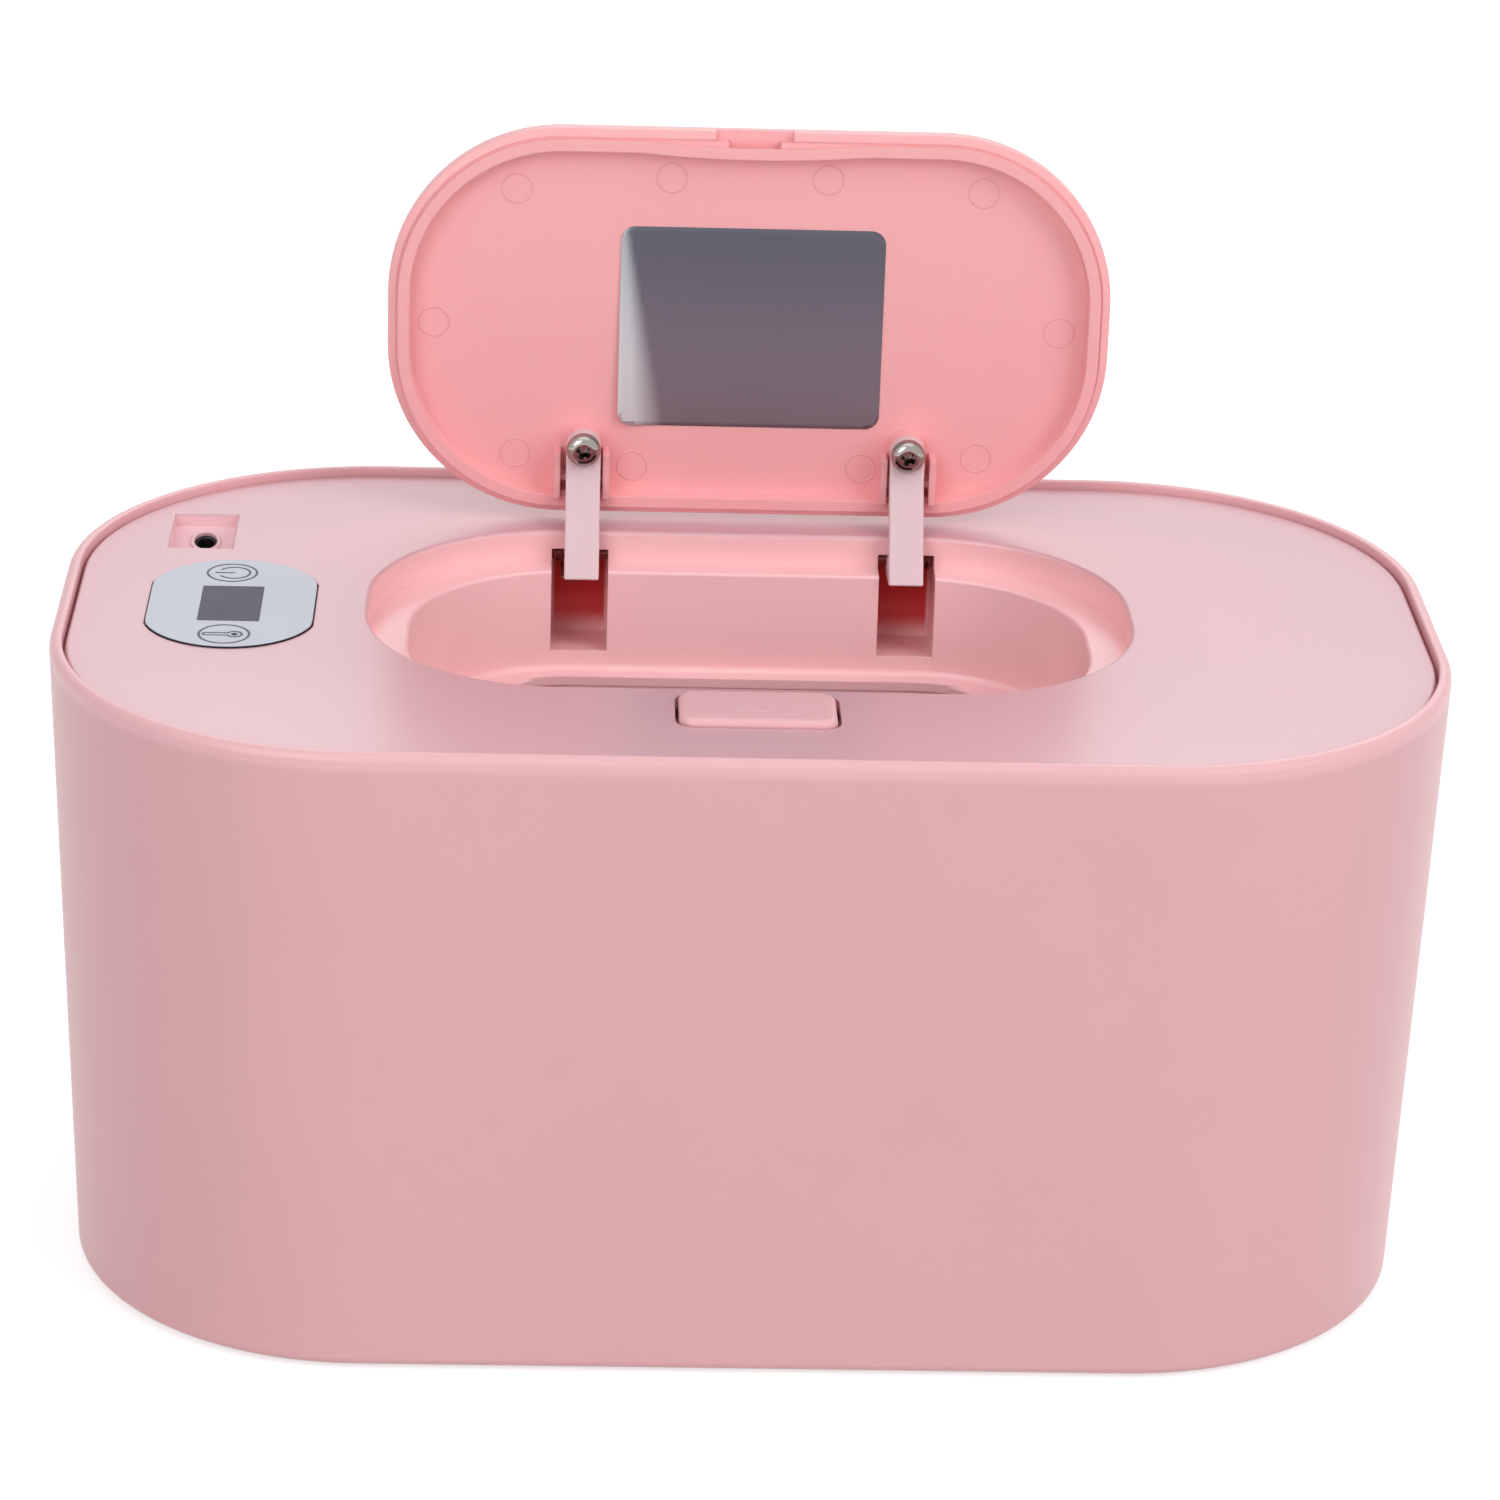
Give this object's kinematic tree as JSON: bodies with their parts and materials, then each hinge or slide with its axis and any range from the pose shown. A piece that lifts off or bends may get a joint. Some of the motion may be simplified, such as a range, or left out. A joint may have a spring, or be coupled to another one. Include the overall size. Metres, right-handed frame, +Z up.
{
  "type": "baby wipe warmer",
  "caption": "Lidded tub that warms wipes: a lift-out deck with a heater, a touch panel, a supply socket and a sprung lid that a push button releases.",
  "frame": {"origin": "middle of the footprint, on the surface that the feet stand on", "axes": "+Z up, +X to the right and -Y towards the button side, as seen from the front"},
  "size_m": [0.2, 0.1184, 0.1558],
  "materials": {
    "pink_plastic": "satin moulded plastic",
    "deck_plastic": "satin moulded plastic",
    "inner_plastic": "moulded, unseen",
    "arm_plastic": "pale, slightly translucent",
    "panel_plastic": "gloss face",
    "rubber": "matt",
    "steel": "bright zinc",
    "heat_plate": "rolled sheet",
    "film": "polyimide film",
    "foam": "felted fibre",
    "black_plastic": "moulded",
    "circuit_board": "lacquered board",
    "display": "display housing",
    "brass": "plated",
    "red_lead": "insulated wire",
    "white_lead": "insulated wire",
    "foil": "metallised foil label"
  },
  "bodies": {
    "shell": {"body_shell": "pink_plastic", "rubber_feet": "rubber"},
    "deck": {"top_deck": "deck_plastic", "inner_cover": "inner_plastic", "cover_screws": "steel", "heat_plate": "heat_plate", "heater_film": "film", "insulation_pad": "foam", "temperature_sensor": "black_plastic", "thermal_fuse": "steel", "control_board": "circuit_board", "board_screws": "steel", "display_module": "display", "touch_springs": "brass", "control_panel": "panel_plastic", "power_jack": "black_plastic", "jack_pin": "brass", "supply_leads": "red_lead", "heater_leads": "white_lead", "latch_spring": "steel", "hinge_pins": "steel", "lid_springs": "steel"},
    "lid": {"lid_shell": "pink_plastic", "lid_label": "foil", "hinge_arm_left": "arm_plastic", "hinge_arm_right": "arm_plastic", "arm_screws": "steel"},
    "button": {"push_button": "pink_plastic"},
    "latch": {"latch_slider": "pink_plastic"}
  },
  "joints": [
    {"name": "deck_lift", "type": "slide", "parent": "shell", "child": "deck", "axis": [0, 0, 1], "range_m": [0, 0.06]},
    {"name": "lid_hinge", "type": "hinge", "parent": "deck", "child": "lid", "pos_m": [0, 0.0374, 0.08966], "axis": [1, 0, 0], "range_deg": [0, 90], "stiffness_Nm_per_rad": 0.0026, "springref_deg": -80.21, "deforming": ["lid_springs"]},
    {"name": "button_press", "type": "slide", "parent": "deck", "child": "button", "axis": [0, 0, -1], "range_m": [0, 0.0015], "stiffness_N_per_m": 400, "springref_m": -0.001},
    {"name": "latch_slide", "type": "slide", "parent": "deck", "child": "latch", "axis": [0, -1, 0], "range_m": [0, 0.0015], "deforming": ["latch_spring"]}
  ],
  "couplings": [
    {"joint": "latch_slide", "follows": "button_press", "ratio": 1}
  ]
}
